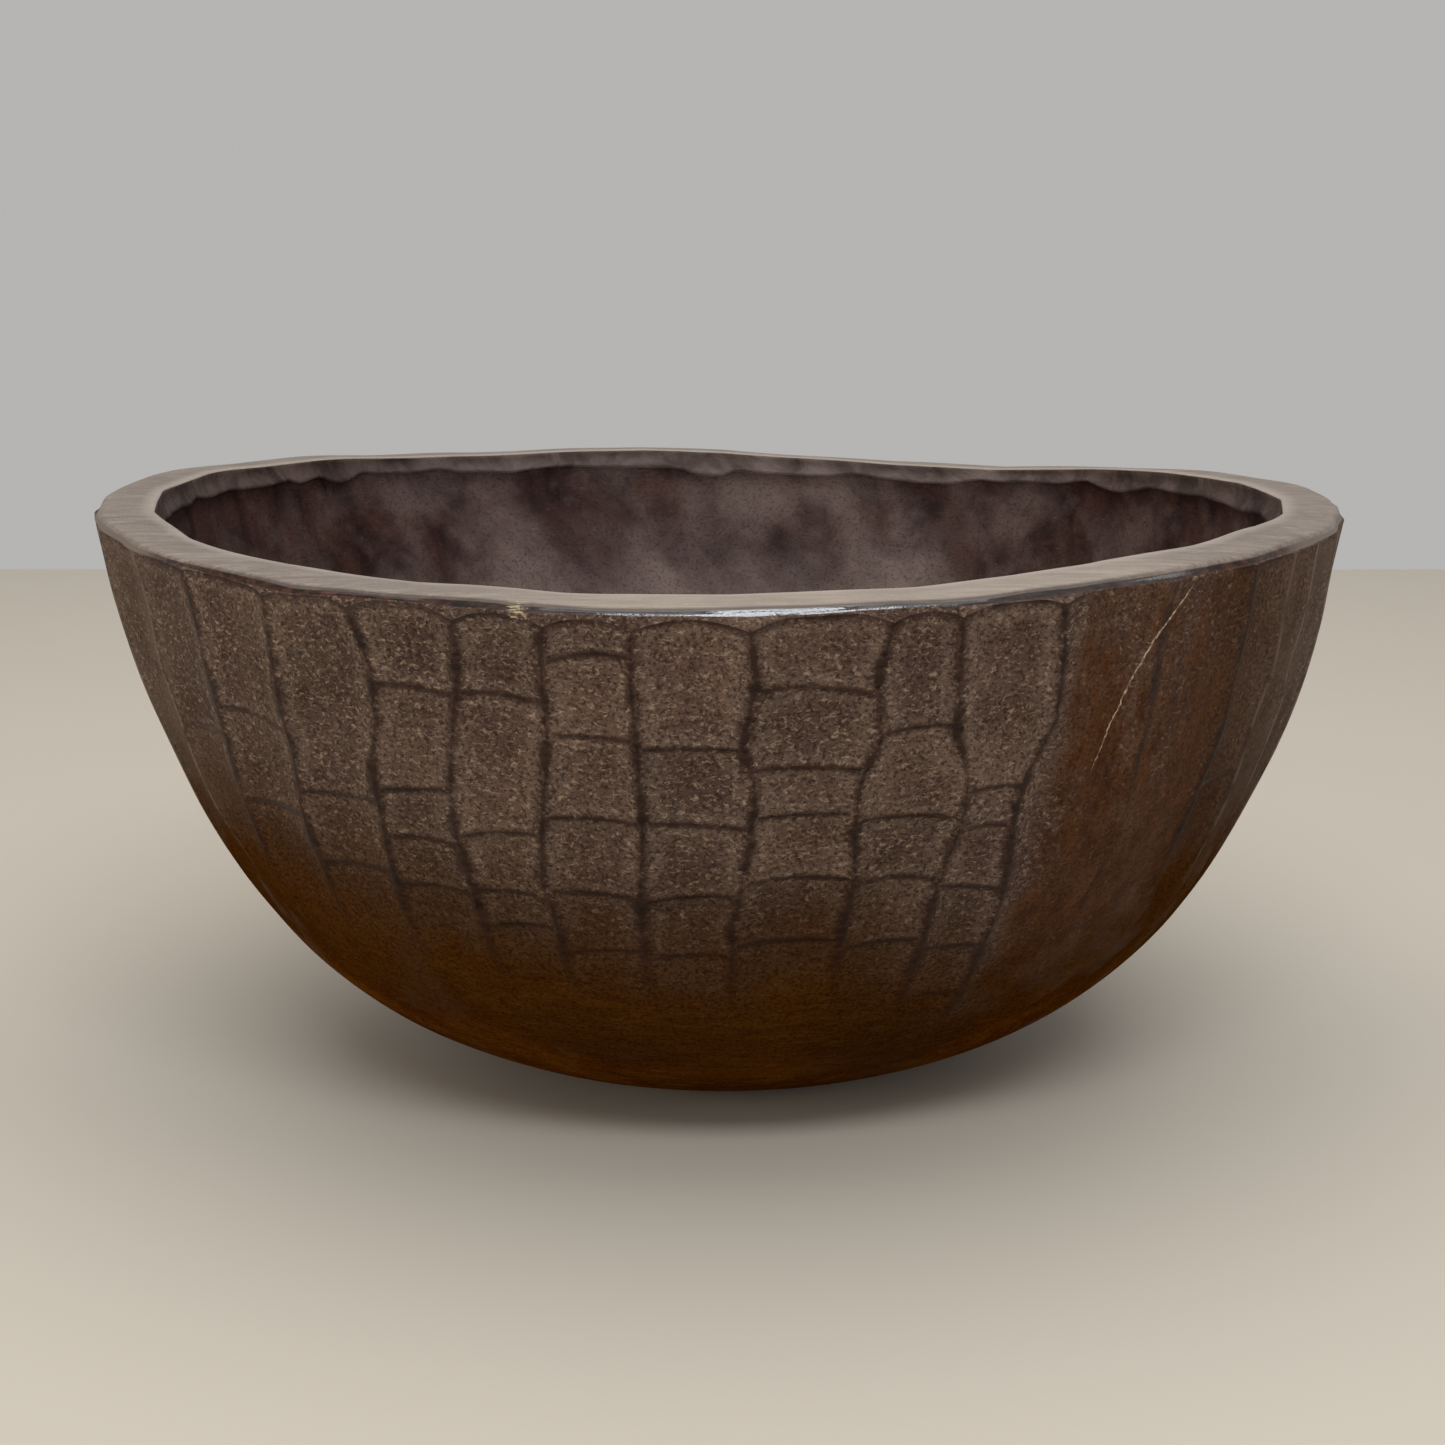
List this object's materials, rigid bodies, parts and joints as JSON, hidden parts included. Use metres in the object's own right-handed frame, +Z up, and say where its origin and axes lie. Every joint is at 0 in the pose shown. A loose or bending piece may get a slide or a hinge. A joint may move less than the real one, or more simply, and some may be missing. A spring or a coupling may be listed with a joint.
{
  "type": "carved wooden bowl",
  "caption": "Wide round bowl carved from one block of dark wood, with adze flutes outside, a flat bevelled rim, a deep open hollow and a flat base.",
  "frame": {"origin": "middle of the flat base, on the surface that the bowl stands on", "axes": "+Z up through the open mouth, -Y towards the front of the bowl, +X to its right"},
  "size_m": [0.45, 0.4498, 0.2085],
  "materials": {
    "dark_hardwood": "dark stained hardwood with dusty adze cells, rubbed and satin on the ridges, the rim's bevel and the underside"
  },
  "bodies": {
    "root": {"bowl": "dark_hardwood"}
  },
  "joints": []
}
